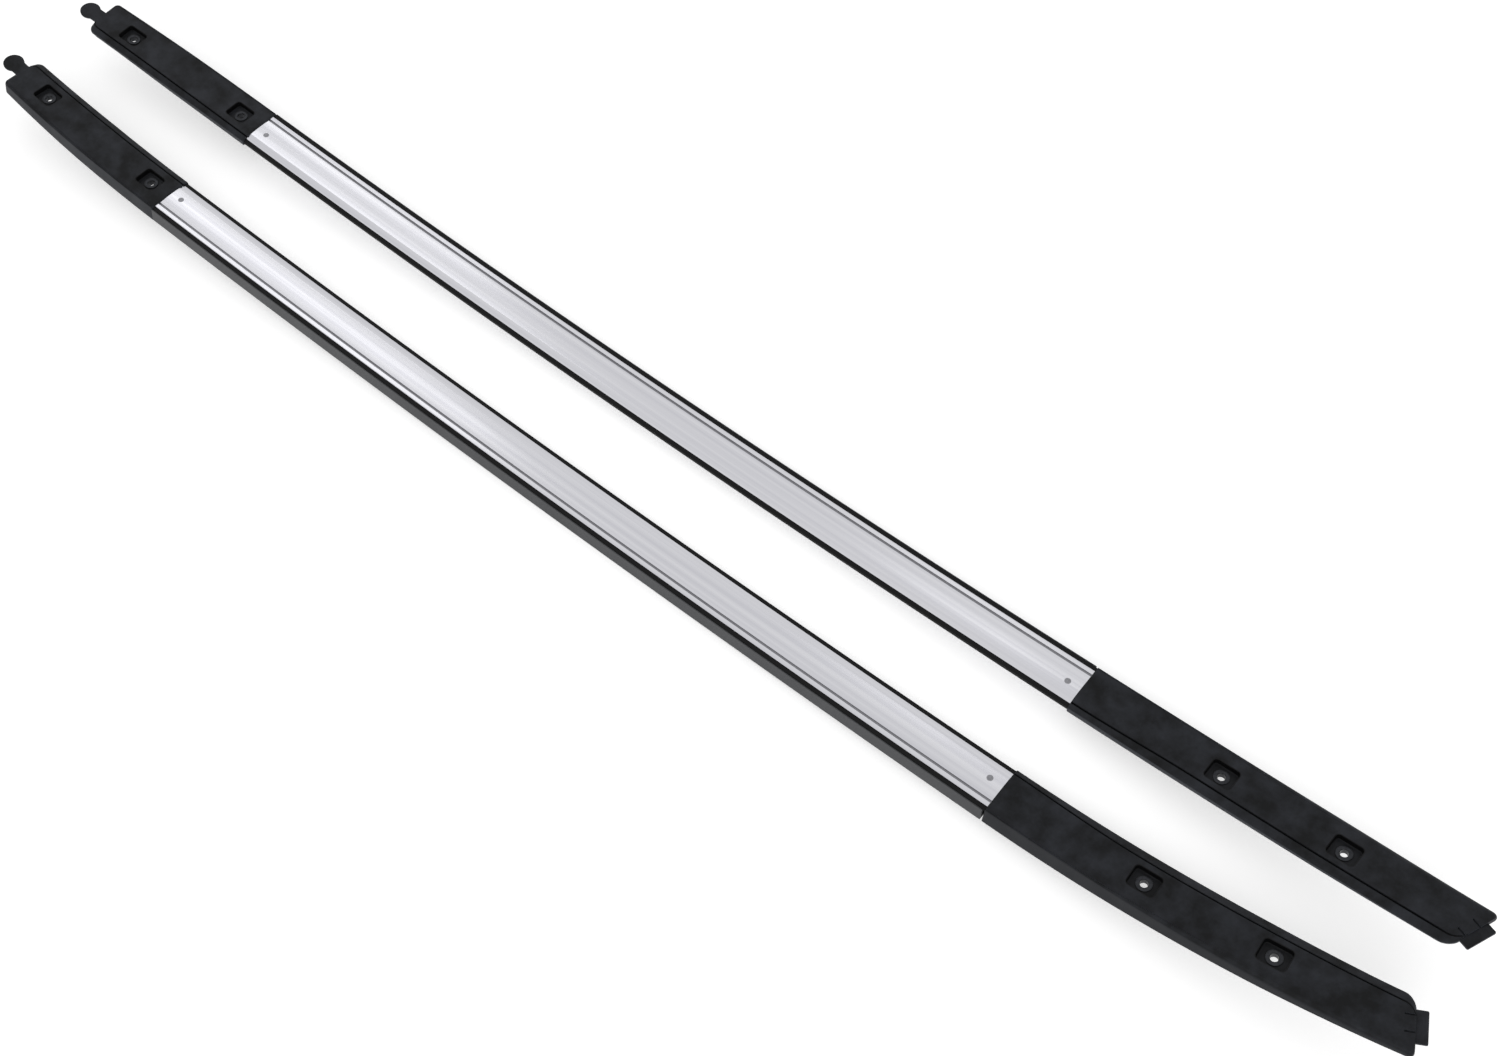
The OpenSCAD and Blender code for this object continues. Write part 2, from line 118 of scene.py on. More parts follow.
def placeCamera(c):
    azimuth, elevation, roll = (math.radians(c[k]) for k in ("azimuth", "elevation", "roll"))
    level, height = math.cos(elevation), math.sin(elevation)
    back = Vector((math.sin(azimuth) * level, -math.cos(azimuth) * level, height))
    right = Vector((math.cos(azimuth), math.sin(azimuth), 0))
    up = back.cross(right)
    across = math.cos(roll) * right + math.sin(roll) * up
    upward = -math.sin(roll) * right + math.cos(roll) * up
    camera = bpy.data.objects.new("photoCamera", bpy.data.cameras.new("photoCamera"))
    camera.data.sensor_fit = "HORIZONTAL"
    camera.data.sensor_width = 36
    camera.data.lens = c["focalPixels"] * 36 / 1498
    camera.data.clip_end = 100
    turn = Matrix((across, upward, back)).transposed().to_4x4()
    camera.matrix_world = Matrix.Translation((Vector(c["target"]) + back * c["distance"]) * mm) @ turn
    bpy.context.scene.collection.objects.link(camera)
    bpy.context.scene.camera = camera


placeCamera(cameraSettings)
print("camera placed")


def newMaterial(name):
    material = bpy.data.materials.new(name)
    material.use_nodes = True
    material.node_tree.nodes.clear()
    return material, material.node_tree


def finishMaterial(tree, shader):
    addNode(tree, "ShaderNodeOutputMaterial", inputs={"Surface": shader.outputs[0]})


def perMillimetre(size):
    # texture scale for a feature of this size in mm, on coordinates in metres
    return 1 / (size * mm)


def anodisedAluminium(name, light, dark, roughness):
    # extruded aluminium, satin anodised: soft wide highlights, faint die lines along the
    # bar (drawn 0.8 mm apart, coarser than real ones, to show) and a fine etched grain
    look = {"light": light, "dark": dark, "roughness": roughness, "dieLine": 0.8, "band": 5.5, "etch": 0.35,
            "haze": 120, "dieLineShare": 0.35, "dieLineBump": 0.04, "etchBump": 0.02}
    material, tree = newMaterial(name)
    place = addNode(tree, "ShaderNodeTexCoord")
    stretch = addNode(tree, "ShaderNodeMapping", inputs={
        "Vector": place.outputs["Object"], "Scale": (0.004, 1, 0)})
    dieLines = addNode(tree, "ShaderNodeTexNoise", inputs={
        "Vector": stretch.outputs[0], "Scale": perMillimetre(look["dieLine"]), "Detail": 3})
    etch = addNode(tree, "ShaderNodeTexNoise", inputs={
        "Vector": place.outputs["Object"], "Scale": perMillimetre(look["etch"]), "Detail": 2})
    clouds = addNode(tree, "ShaderNodeTexNoise", inputs={
        "Vector": place.outputs["Object"], "Scale": perMillimetre(look["haze"]), "Detail": 3})
    bands = addNode(tree, "ShaderNodeTexNoise", inputs={
        "Vector": stretch.outputs[0], "Scale": perMillimetre(look["band"]), "Detail": 2})
    bandRange = addNode(tree, "ShaderNodeMapRange", inputs={
        "Value": bands.outputs[0], "From Min": 0.36, "From Max": 0.64})
    lineShare = addNode(tree, "ShaderNodeMix", {"data_type": "FLOAT"}, {
        0: look["dieLineShare"], 2: bandRange.outputs[0], 3: dieLines.outputs[0]})
    colour = addNode(tree, "ShaderNodeMix", {"data_type": "RGBA"}, {
        0: lineShare.outputs[0], 6: linearColour(look["dark"]), 7: linearColour(look["light"])})
    rough = addNode(tree, "ShaderNodeMapRange", inputs={
        "Value": clouds.outputs[0], "To Min": look["roughness"] - 0.03, "To Max": look["roughness"] + 0.04})
    lineBump = addNode(tree, "ShaderNodeBump", inputs={
        "Strength": look["dieLineBump"], "Distance": 0.02 * mm, "Height": dieLines.outputs[0]})
    etchBump = addNode(tree, "ShaderNodeBump", inputs={
        "Strength": look["etchBump"], "Distance": 0.01 * mm, "Height": etch.outputs[0],
        "Normal": lineBump.outputs[0]})
    shader = addNode(tree, "ShaderNodeBsdfPrincipled", inputs={
        "Base Color": colour.outputs[2], "Metallic": 1.0, "Roughness": rough.outputs[0],
        "Normal": etchBump.outputs[0]})
    finishMaterial(tree, shader)
    return material


def mouldedPlastic(name, dark, light, side, roughness, grain, mottle, gloss):
    # injection moulded polypropylene with a spark-eroded grain: dull, slightly blue black,
    # cloudy where the grain catches the light (grain drawn at 0.9 mm so that it shows)
    look = {"dark": dark, "light": light, "side": side, "recess": "#040405", "roughness": roughness, "grain": grain,
            "mottle": mottle, "gloss": gloss, "grainBump": 0.22, "fineBump": 0.15}
    material, tree = newMaterial(name)
    place = addNode(tree, "ShaderNodeTexCoord")
    clouds = addNode(tree, "ShaderNodeTexNoise", inputs={
        "Vector": place.outputs["Object"], "Scale": perMillimetre(look["mottle"]), "Detail": 5,
        "Roughness": 0.6})
    cloudRange = addNode(tree, "ShaderNodeMapRange", inputs={
        "Value": clouds.outputs[0], "From Min": 0.35, "From Max": 0.68})
    topTone = addNode(tree, "ShaderNodeMix", {"data_type": "RGBA"}, {
        0: cloudRange.outputs[0], 6: linearColour(look["dark"]), 7: linearColour(look["light"])})
    # painted light: steep faces take the lighter side colour, standing in for the floor's light falling on them
    facing = addNode(tree, "ShaderNodeNewGeometry")
    parts = addNode(tree, "ShaderNodeSeparateXYZ", inputs={0: facing.outputs["Normal"]})
    paintedSideLightMask = addNode(tree, "ShaderNodeMapRange", {"interpolation_type": "SMOOTHSTEP"}, {
        "Value": parts.outputs["Z"], "From Min": 0.2, "From Max": 0.75, "To Min": 1.0, "To Max": 0.0})
    paintedSideLight = addNode(tree, "ShaderNodeMix", {"data_type": "RGBA"}, {
        0: paintedSideLightMask.outputs[0], 6: topTone.outputs[2], 7: linearColour(look["side"])})
    # painted shade: a point attribute mixes the colour towards near black in the pockets, along the crease line and
    # on the outer flank
    recess = addNode(tree, "ShaderNodeAttribute", {"attribute_name": "recess"})
    colour = addNode(tree, "ShaderNodeMix", {"data_type": "RGBA"}, {
        0: recess.outputs["Fac"], 6: paintedSideLight.outputs[2], 7: linearColour(look["recess"])})
    rough = addNode(tree, "ShaderNodeMapRange", inputs={
        "Value": cloudRange.outputs[0], "To Min": look["roughness"] + 0.05, "To Max": look["roughness"] - 0.06})
    grainField = addNode(tree, "ShaderNodeTexVoronoi", {"feature": "SMOOTH_F1"}, {
        "Vector": place.outputs["Object"], "Scale": perMillimetre(look["grain"]), "Smoothness": 0.6})
    fine = addNode(tree, "ShaderNodeTexNoise", inputs={
        "Vector": place.outputs["Object"], "Scale": perMillimetre(look["grain"] * 0.4), "Detail": 3})
    grainBump = addNode(tree, "ShaderNodeBump", inputs={
        "Strength": look["grainBump"], "Distance": 0.06 * mm, "Height": grainField.outputs[0]})
    fineBump = addNode(tree, "ShaderNodeBump", inputs={
        "Strength": look["fineBump"], "Distance": 0.03 * mm, "Height": fine.outputs[0],
        "Normal": grainBump.outputs[0]})
    shader = addNode(tree, "ShaderNodeBsdfPrincipled", inputs={
        "Base Color": colour.outputs[2], "Roughness": rough.outputs[0], "IOR": 1.49,
        "Specular IOR Level": look["gloss"], "Normal": fineBump.outputs[0]})
    finishMaterial(tree, shader)
    return material


def epdmRubber(name, dark, light):
    # extruded EPDM rubber: near black, matte, with a faint dusty bloom
    look = {"dark": dark, "light": light, "roughness": 0.62, "bloom": 18,
            "skin": 0.8, "skinBump": 0.2, "gloss": 0.15}
    material, tree = newMaterial(name)
    place = addNode(tree, "ShaderNodeTexCoord")
    bloom = addNode(tree, "ShaderNodeTexNoise", inputs={
        "Vector": place.outputs["Object"], "Scale": perMillimetre(look["bloom"]), "Detail": 4})
    skin = addNode(tree, "ShaderNodeTexNoise", inputs={
        "Vector": place.outputs["Object"], "Scale": perMillimetre(look["skin"]), "Detail": 2})
    colour = addNode(tree, "ShaderNodeMix", {"data_type": "RGBA"}, {
        0: bloom.outputs[0], 6: linearColour(look["dark"]), 7: linearColour(look["light"])})
    rough = addNode(tree, "ShaderNodeMapRange", inputs={
        "Value": bloom.outputs[0], "To Min": look["roughness"] - 0.08, "To Max": look["roughness"] + 0.1})
    bump = addNode(tree, "ShaderNodeBump", inputs={
        "Strength": look["skinBump"], "Distance": 0.04 * mm, "Height": skin.outputs[0]})
    shader = addNode(tree, "ShaderNodeBsdfPrincipled", inputs={
        "Base Color": colour.outputs[2], "Roughness": rough.outputs[0], "IOR": 1.52,
        "Specular IOR Level": look["gloss"], "Normal": bump.outputs[0]})
    finishMaterial(tree, shader)
    return material


def zincPlatedSteel(name, light, dark):
    # zinc plated steel: bright grey metal, cloudy in small patches from the plating bath
    look = {"light": light, "dark": dark, "roughness": 0.34, "spangle": 2.2, "haze": 3, "hazeBump": 0.15}
    material, tree = newMaterial(name)
    place = addNode(tree, "ShaderNodeTexCoord")
    spangle = addNode(tree, "ShaderNodeTexVoronoi", inputs={
        "Vector": place.outputs["Object"], "Scale": perMillimetre(look["spangle"])})
    haze = addNode(tree, "ShaderNodeTexNoise", inputs={
        "Vector": place.outputs["Object"], "Scale": perMillimetre(look["haze"]), "Detail": 4})
    patch = addNode(tree, "ShaderNodeMath", {"operation": "MULTIPLY"}, {
        0: spangle.outputs["Distance"], 1: haze.outputs[0]})
    colour = addNode(tree, "ShaderNodeMix", {"data_type": "RGBA"}, {
        0: patch.outputs[0], 6: linearColour(look["light"]), 7: linearColour(look["dark"])})
    rough = addNode(tree, "ShaderNodeMapRange", inputs={
        "Value": haze.outputs[0], "To Min": look["roughness"] - 0.06, "To Max": look["roughness"] + 0.12})
    bump = addNode(tree, "ShaderNodeBump", inputs={
        "Strength": look["hazeBump"], "Distance": 0.03 * mm, "Height": haze.outputs[0]})
    shader = addNode(tree, "ShaderNodeBsdfPrincipled", inputs={
        "Base Color": colour.outputs[2], "Metallic": 1.0, "Roughness": rough.outputs[0], "Normal": bump.outputs[0]})
    finishMaterial(tree, shader)
    return material


barMetal = anodisedAluminium("satinAnodisedAluminium", "#d2d2d6", "#bfbfc5", 0.19)
# a rougher, darker aluminium for the groove; the darker colour is painted shade
grooveShadeMetal = anodisedAluminium("dullAluminiumInGroove", "#8a8a8e", "#77777b", 0.5)
# the third colour of each plastic is painted light on its steep faces
endPlastic = mouldedPlastic("grainedPolypropylene", "#0a0b0d", "#25272c", "#3b3d42", 0.52, 0.9, 26, 0.16)
skirtPlastic = mouldedPlastic("satinPaintedSkirt", "#2b2c2f", "#333437", "#38393c", 0.42, 0.5, 90, 0.4)
sealRubber = epdmRubber("epdmSealRubber", "#060607", "#0c0c0d")
padRubber = epdmRubber("closedCellPadRubber", "#101011", "#1a1a1b")
plainSteel = zincPlatedSteel("blackZincPlatedSteel", "#38393c", "#202124")
rivetSteel = zincPlatedSteel("rivetSteel", "#8c8c90", "#6a6a6e")
print("materials made")


def bend(arc, radius, lean=0.0):
    # place at an arc length along a bend that starts at the origin along X
    inward = Vector((0, -math.sin(lean), math.cos(lean)))
    axis = Vector((0, -math.cos(lean), -math.sin(lean)))
    centre = inward * radius
    return Matrix.Translation(centre) @ Matrix.Rotation(arc / radius, 4, axis) @ Matrix.Translation(-centre)


def railPlace():
    p = pairLayout
    return Matrix.Translation((p["centreX"], p["railGap"] / 2, p["groundLift"]))


def endPlace(end):
    p = pairLayout
    if end == "long":
        return railPlace() @ bend(p["barAhead"], p["bowRadius"]) @ Matrix.Translation((p["jointGap"], 0, 0))
    mirrored = Matrix.Diagonal((-1, 1, 1, 1))
    joint = railPlace() @ bend(-p["barBehind"], p["bowRadius"])
    return joint @ mirrored @ Matrix.Translation((p["jointGap"], 0, 0))


def roundedSection(corners, pieces=4, support=0.35):
    # corners are (u, v, radius); each becomes a small arc with a support point either side
    points = []
    count = len(corners)
    for i, (u, v, radius) in enumerate(corners):
        here = Vector((u, v))
        before = Vector(corners[i - 1][:2]) - here
        after = Vector(corners[(i + 1) % count][:2]) - here
        if radius <= 0:
            points.append(here)
            continue
        a, b = before.normalized(), after.normalized()
        half = math.acos(max(-1, min(1, a.dot(b)))) / 2
        reach = radius / math.tan(half)
        middle = here + (a + b).normalized() * (radius / math.sin(half))
        start, stop = here + a * reach, here + b * reach
        if before.length > reach + support * 2:
            points.append(here + a * (reach + support))
        startAngle = math.atan2(*(start - middle).yx)
        turn = math.atan2(*(stop - middle).yx) - startAngle
        turn = (turn + math.pi) % (2 * math.pi) - math.pi
        for k in range(pieces + 1):
            angle = startAngle + turn * k / pieces
            points.append(middle + radius * Vector((math.cos(angle), math.sin(angle))))
        if after.length > reach + support * 2:
            points.append(here + b * (reach + support))
    return points


def bowTree():
    # sweeps the wire section of the object's own mesh along X, then bends it to the bow
    tree = bpy.data.node_groups.new("extrusionAlongBow", "GeometryNodeTree")
    face = tree.interface
    face.new_socket("Geometry", in_out="INPUT", socket_type="NodeSocketGeometry")
    for name, value in (("Bow Radius", 10.18), ("Start", -0.7), ("End", 0.55)):
        face.new_socket(name, in_out="INPUT", socket_type="NodeSocketFloat").default_value = value
    face.new_socket("Steps", in_out="INPUT", socket_type="NodeSocketInt").default_value = 120
    face.new_socket("Material", in_out="INPUT", socket_type="NodeSocketMaterial")
    face.new_socket("Geometry", in_out="OUTPUT", socket_type="NodeSocketGeometry")
    given = addNode(tree, "NodeGroupInput")
    section = addNode(tree, "GeometryNodeMeshToCurve", inputs={"Mesh": given.outputs["Geometry"]})
    start = addNode(tree, "ShaderNodeCombineXYZ", inputs={"X": given.outputs["Start"]})
    end = addNode(tree, "ShaderNodeCombineXYZ", inputs={"X": given.outputs["End"]})
    line = addNode(tree, "GeometryNodeCurvePrimitiveLine", inputs={
        "Start": start.outputs[0], "End": end.outputs[0]})
    path = addNode(tree, "GeometryNodeResampleCurve", inputs={
        "Curve": line.outputs[0], "Count": given.outputs["Steps"]})
    swept = addNode(tree, "GeometryNodeCurveToMesh", inputs={
        "Curve": path.outputs[0], "Profile Curve": section.outputs[0], "Fill Caps": True})
    at = addNode(tree, "GeometryNodeInputPosition")
    parts = addNode(tree, "ShaderNodeSeparateXYZ", inputs={0: at.outputs[0]})
    angle = addNode(tree, "ShaderNodeMath", {"operation": "DIVIDE"}, {
        0: parts.outputs["X"], 1: given.outputs["Bow Radius"]})
    sine = addNode(tree, "ShaderNodeMath", {"operation": "SINE"}, {0: angle.outputs[0]})
    cosine = addNode(tree, "ShaderNodeMath", {"operation": "COSINE"}, {0: angle.outputs[0]})
    arm = addNode(tree, "ShaderNodeMath", {"operation": "SUBTRACT"}, {
        0: given.outputs["Bow Radius"], 1: parts.outputs["Z"]})
    bentX = addNode(tree, "ShaderNodeMath", {"operation": "MULTIPLY"}, {0: arm.outputs[0], 1: sine.outputs[0]})
    drop = addNode(tree, "ShaderNodeMath", {"operation": "MULTIPLY"}, {0: arm.outputs[0], 1: cosine.outputs[0]})
    bentZ = addNode(tree, "ShaderNodeMath", {"operation": "SUBTRACT"}, {
        0: given.outputs["Bow Radius"], 1: drop.outputs[0]})
    bent = addNode(tree, "ShaderNodeCombineXYZ", inputs={
        "X": bentX.outputs[0], "Y": parts.outputs["Y"], "Z": bentZ.outputs[0]})
    bowed = addNode(tree, "GeometryNodeSetPosition", inputs={
        "Geometry": swept.outputs[0], "Position": bent.outputs[0]})
    smooth = addNode(tree, "GeometryNodeSetShadeSmooth", inputs={0: bowed.outputs[0]})
    real = addNode(tree, "GeometryNodeRealizeInstances", inputs={0: smooth.outputs[0]})
    painted = addNode(tree, "GeometryNodeSetMaterial", inputs={
        "Geometry": real.outputs[0], "Material": given.outputs["Material"]})
    addNode(tree, "NodeGroupOutput", inputs={"Geometry": painted.outputs[0]})
    return tree


extrusionAlongBow = bowTree()


def socketId(tree, name):
    for item in tree.interface.items_tree:
        if item.item_type == "SOCKET" and item.in_out == "INPUT" and item.name == name:
            return item.identifier


def applyTree(obj, tree, values):
    # runs the tree on the object and keeps the result as its plain mesh
    modifier = obj.modifiers.new("build", "NODES")
    modifier.node_group = tree
    for name, value in values.items():
        modifier[socketId(tree, name)] = value
    bpy.context.view_layer.update()
    evaluated = obj.evaluated_get(bpy.context.evaluated_depsgraph_get())
    made = bpy.data.meshes.new_from_object(evaluated)
    obj.modifiers.remove(modifier)
    obj.data = made


def paintGrooveShade(mesh):
    # the groove beside the rib gets a rougher aluminium whose darker colour is painted shade in the groove
    b, radius = barSizes, pairLayout["bowRadius"] * mm
    outer = (b["faceWidth"] / 2 - b["ribWidth"]) * mm
    inner = outer - b["grooveWidth"] * mm
    mesh.materials.append(grooveShadeMetal)
    for face in mesh.polygons:
        x, u, z = face.center
        height = radius - math.hypot(x, radius - z)
        if inner - 0.1 * mm < u < outer + 0.1 * mm and -3 * mm < height < -0.75 * mm:
            face.material_index = 1


def extrudeAlongBow(name, section, start, end, material, side, node):
    mirror = sides[side]
    count = len(section)
    wire = bpy.data.meshes.new(name)
    # Curve to Mesh takes the section in its XY plane and turns it half round
    wire.from_pydata([(-u * mm, -v * mm, 0) for u, v in section], [(i, (i + 1) % count) for i in range(count)], [])
    obj = bpy.data.objects.new(name, wire)
    bpy.context.scene.collection.objects.link(obj)
    applyTree(obj, extrusionAlongBow, {
        "Bow Radius": pairLayout["bowRadius"] * mm, "Start": start * mm, "End": end * mm,
        "Steps": max(8, int((end - start) / 10)), "Material": material})
    if material is barMetal:
        paintGrooveShade(obj.data)
    p = pairLayout
    obj.data.transform(Matrix.Translation((p["centreX"] * mm, mirror * p["railGap"] / 2 * mm, p["groundLift"] * mm))
                       @ Matrix.Diagonal((1, mirror, 1, 1)))
    outwardNormals(obj)
    sharpenEdges(obj, 40)
    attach(obj, "root")
    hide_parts(node)
    return obj


# bar section, u outwards and v up from the middle of the face
barSizes = {
    "faceWidth": 46.9,
    "crown": 0.45,
    "innerHeight": 6.2,
    "outerHeight": 17.0,
    "shoulderWidth": 8.2,
    "shoulderDrop": 2.6,
    "grooveWidth": 2.8,
    "grooveDepth": 1.5,
    "ribWidth": 5.3,
    "ribDrop": 0.2,
    "edgeRadius": 0.6,
}


def barFloor(u):
    b = barSizes
    half = b["faceWidth"] / 2
    slope = (b["outerHeight"] - b["innerHeight"] - b["shoulderDrop"]) / b["faceWidth"]
    return -b["shoulderDrop"] - b["innerHeight"] - (u + half) * slope


def barSection():
    # the bright face has a slight crown
    b = barSizes
    half = b["faceWidth"] / 2
    grooveOut = half - b["ribWidth"]
    grooveIn = grooveOut - b["grooveWidth"]
    r = b["edgeRadius"]
    low, high = -half + b["shoulderWidth"], grooveIn
    middle, reach = (low + high) / 2, (high - low) / 2
    crownU = [middle + reach * k / 10 for k in range(-8, 9)]
    crown = [(u, -b["crown"] * ((u - middle) / reach) ** 2, 0) for u in crownU]
    return roundedSection([
        (-half, barFloor(-half), r), (-half, -b["shoulderDrop"], r), (low, -b["crown"], 3.0), *crown,
        (grooveIn, -b["crown"], 0.35), (grooveIn + 0.2, -b["grooveDepth"], 0.3),
        (grooveOut - 0.2, -b["grooveDepth"], 0.3),
        (grooveOut, -b["ribDrop"], 0.35), (half, -b["ribDrop"], r), (half, barFloor(half), r)])


sealSizes = {"width": 5.0, "gap": 0.25, "outerTop": -0.7, "outerHeight": 2.6, "bead": 0.9}
skirtSizes = {"wall": 2.0, "edge": 1.2, "flare": 4.0, "foot": 20.0, "endGap": 2.0}


def outerSealSection():
    s, half = sealSizes, barSizes["faceWidth"] / 2
    inner, outer, top = half + s["gap"], half + s["width"], s["outerTop"]
    return roundedSection([
        (inner, top - s["outerHeight"], 0.2), (inner, top, 0.4),
        (outer, top, s["bead"]), (outer, top - s["outerHeight"], 0.2)])


def innerSealSection():
    s, half = sealSizes, barSizes["faceWidth"] / 2
    inner, outer = -half - s["gap"], -half - s["width"]
    top, foot = -barSizes["shoulderDrop"] - s["gap"], barFloor(-half) + 0.4
    return roundedSection([
        (inner, foot, 0.2), (inner, top, 0.4), (outer, top - 0.4, s["bead"]), (outer, foot, 0.6)])


def skirtSection():
    k, s, half = skirtSizes, sealSizes, barSizes["faceWidth"] / 2
    top = s["outerTop"]
    flankTop = half + s["width"] + s["gap"]
    flankEdge, flankFoot = flankTop + k["edge"], flankTop + k["flare"]
    floor = barFloor(half) - s["gap"] - k["wall"]
    inner, foot = half + s["gap"], half - k["foot"]
    ledge = top - s["outerHeight"] - s["gap"]
    edgeV, liftV = top - k["edge"] / 2, floor + k["edge"]
    flankAt = lambda v: flankEdge + (flankFoot - flankEdge) * (edgeV - v) / (edgeV - liftV)
    footTop = barFloor(half) - s["gap"]
    return roundedSection([
        (flankTop, top, 0.4), (flankEdge, top - 0.1, 0.5), (flankAt(liftV), liftV, 1.0),
        (flankFoot - 1.6, floor, 0.6), (inner, floor, 0.8),
        (foot, barFloor(foot) - s["gap"] - k["wall"], 0.5), (foot, barFloor(foot) - s["gap"], 0.3),
        (half, footTop, 0), (flankAt(footTop) - k["wall"], footTop, 0.4),
        (flankAt(ledge - k["wall"]) - k["wall"], ledge - k["wall"], 0.4), (inner, ledge - k["wall"], 0.3),
        (inner, ledge, 0.3), (flankTop, ledge, 0)])


# piece, node, section, material, slot, and how far it stops short of the long moulding
extrusions = (
    ("BrightBar", "bar", barSection, barMetal, "bright_aluminium", 0.0),
    ("OuterSealStrip", "outer_seal", outerSealSection, sealRubber, "black_seal", 0.0),
    ("InnerSealStrip", "inner_seal", innerSealSection, sealRubber, "black_seal", 0.0),
    ("FlankSkirt", "skirt", skirtSection, skirtPlastic, "dark_skirt", skirtSizes["endGap"]),
)
for side in sides:
    for piece, node, section, material, slotName, endGap in extrusions:
        start, end = -pairLayout["barBehind"], pairLayout["barAhead"] - endGap
        extrudeAlongBow(f"{side}{piece}", section(), start, end, material, side, f"{side}_{node}")
print("extrusions made")


# the moulded ends; pairs are the value at the joint and at the tip
endSizes = {
    "long": {
        "length": 438.0, "rise": 44.0, "inset": 17.0, "thinning": 6.0, "edgeThinning": 14.0, "slant": 20.0,
        "pockets": (166.0, 303.0), "shoulderWidth": (7.6, 11.0), "shoulderDrop": (3.2, 3.8),
        "shoulderGrowth": 150.0,
        "outerLineFade": (150.0, 330.0), "edgeRadius": (1.0, 7.0), "tipNarrowing": (1.2, 2.0),
        "cornerRadius": 11.0, "outerCorner": 7.0, "flankShade": 0.62,
    },
    "short": {
        "length": 284.0, "rise": 9.0, "inset": 8.0, "thinning": 5.0, "edgeThinning": None, "slant": 0.0,
        "pockets": (35.0, 230.0), "shoulderWidth": (8.6, 9.4), "shoulderDrop": (3.3, 3.5),
        "shoulderGrowth": 150.0,
        "outerLineFade": (600.0, 900.0), "edgeRadius": (1.2, 2.2), "tipNarrowing": (2.0, 2.0),
        "cornerRadius": 9.0, "outerCorner": 5.0, "flankShade": 0.4,
    },
}
mouldingSizes = {
    "railHalf": 28.45, "innerStep": 1.2, "flankTop": 28.7, "flankLean": 0.2078, "proud": 0.8,
    "innerDepth": 10.4, "outerDepth": 18.4, "edgeFloorDepth": 19.0, "edgeFloorSlope": 0.06, "flankFoot": 32.7,
    "lineDepth": 2.8, "outerLineDepth": 0.8, "topPoints": 30, "creasePoint": 10,
    "stationStep": 2.0, "tipChamfer": 0.6, "creaseShades": (0.3, 1.0, 1.0, 0.7), "flankPoints": 10,
}
pocketSizes = {
    "length": 30.0, "width": 24.0, "corner": 4.0, "depth": 7.0, "hole": 6.25, "reach": 18.6, "side": 15.6,
}


def bendRadius(size, rise):
    return size["length"] ** 2 / (2 * math.hypot(rise, size["inset"]))


def underFloor(size, u, arc):
    # height of the underside, the higher of its main floor and the floor that lifts the outer edge
    m = mouldingSizes
    share = (max(0.0, arc) / size["length"]) ** 2
    slope = (m["outerDepth"] - m["innerDepth"]) / (2 * m["railHalf"])
    main = -m["innerDepth"] - (u + m["railHalf"]) * slope + size["thinning"] * share
    if size["edgeThinning"] is None:
        return main
    edge = -m["edgeFloorDepth"] + (u - m["flankFoot"]) * m["edgeFloorSlope"] + size["edgeThinning"] * share
    return max(main, edge)


def easeIn(value, low, high):
    t = max(0.0, min(1.0, (value - low) / (high - low)))
    return t * t * (3 - 2 * t)


